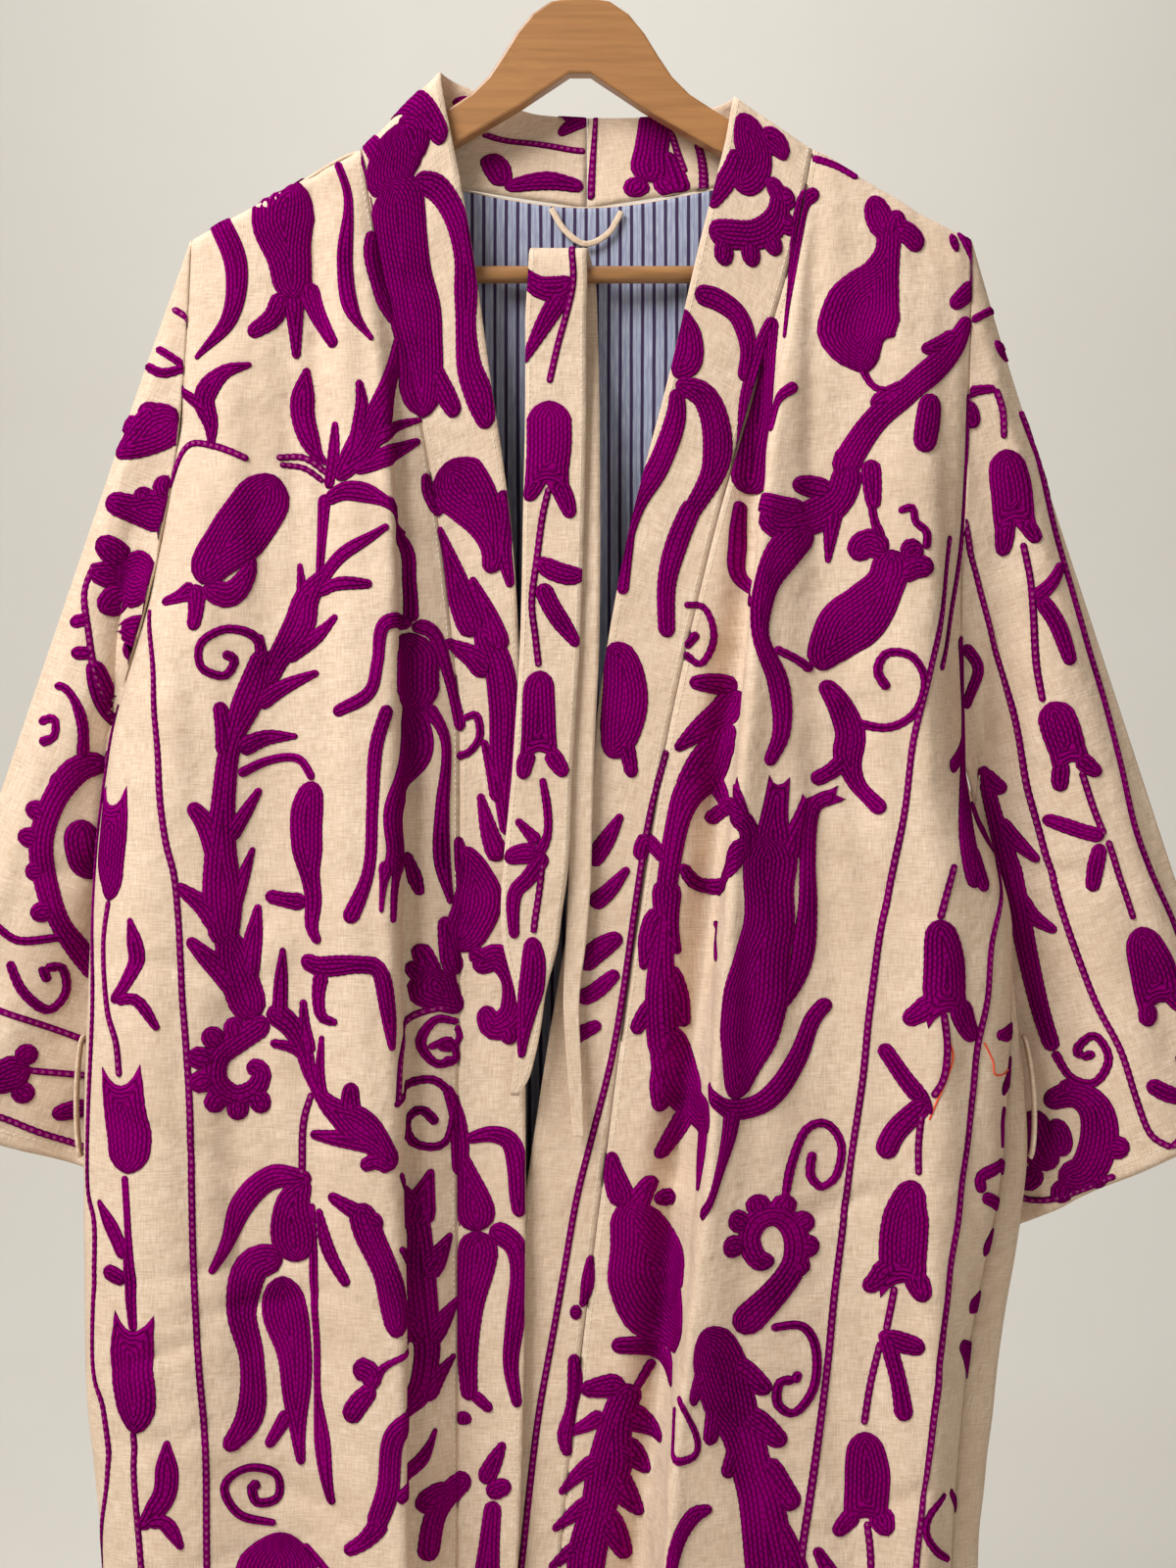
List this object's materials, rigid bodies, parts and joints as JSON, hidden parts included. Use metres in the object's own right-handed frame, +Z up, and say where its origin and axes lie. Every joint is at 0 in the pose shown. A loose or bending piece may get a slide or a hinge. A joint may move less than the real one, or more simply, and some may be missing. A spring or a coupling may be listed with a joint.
{
  "type": "embroidered kimono jacket on a wooden hanger",
  "caption": "Long open kimono jacket of embroidered canvas, hanging flat on a wooden clothes hanger with its belt over the hanger's bar.",
  "frame": {"origin": "the highest point of the hook's inner curve, where a rail bears on it", "axes": "+Z up, -Y towards the front of the jacket, +X towards the wearer's left"},
  "size_m": [0.7908, 0.1133, 1.2706],
  "materials": {
    "canvas": "cream cotton canvas with purple wool chain stitch",
    "lining": "pale blue-grey cotton with deep purple stripes",
    "wood": "varnished beech",
    "wire": "plain steel wire"
  },
  "bodies": {
    "root": {"back": "canvas", "right_front": "canvas", "left_front": "canvas", "right_band": "canvas", "left_band": "canvas", "right_sleeve": "canvas", "left_sleeve": "canvas", "belt": "canvas", "belt_loop_right": "canvas", "belt_loop_left": "canvas", "hanging_loop": "canvas", "back_lining": "lining", "hanger_body": "wood", "hanger_bar": "wood", "hanger_hook": "wire"}
  },
  "joints": []
}
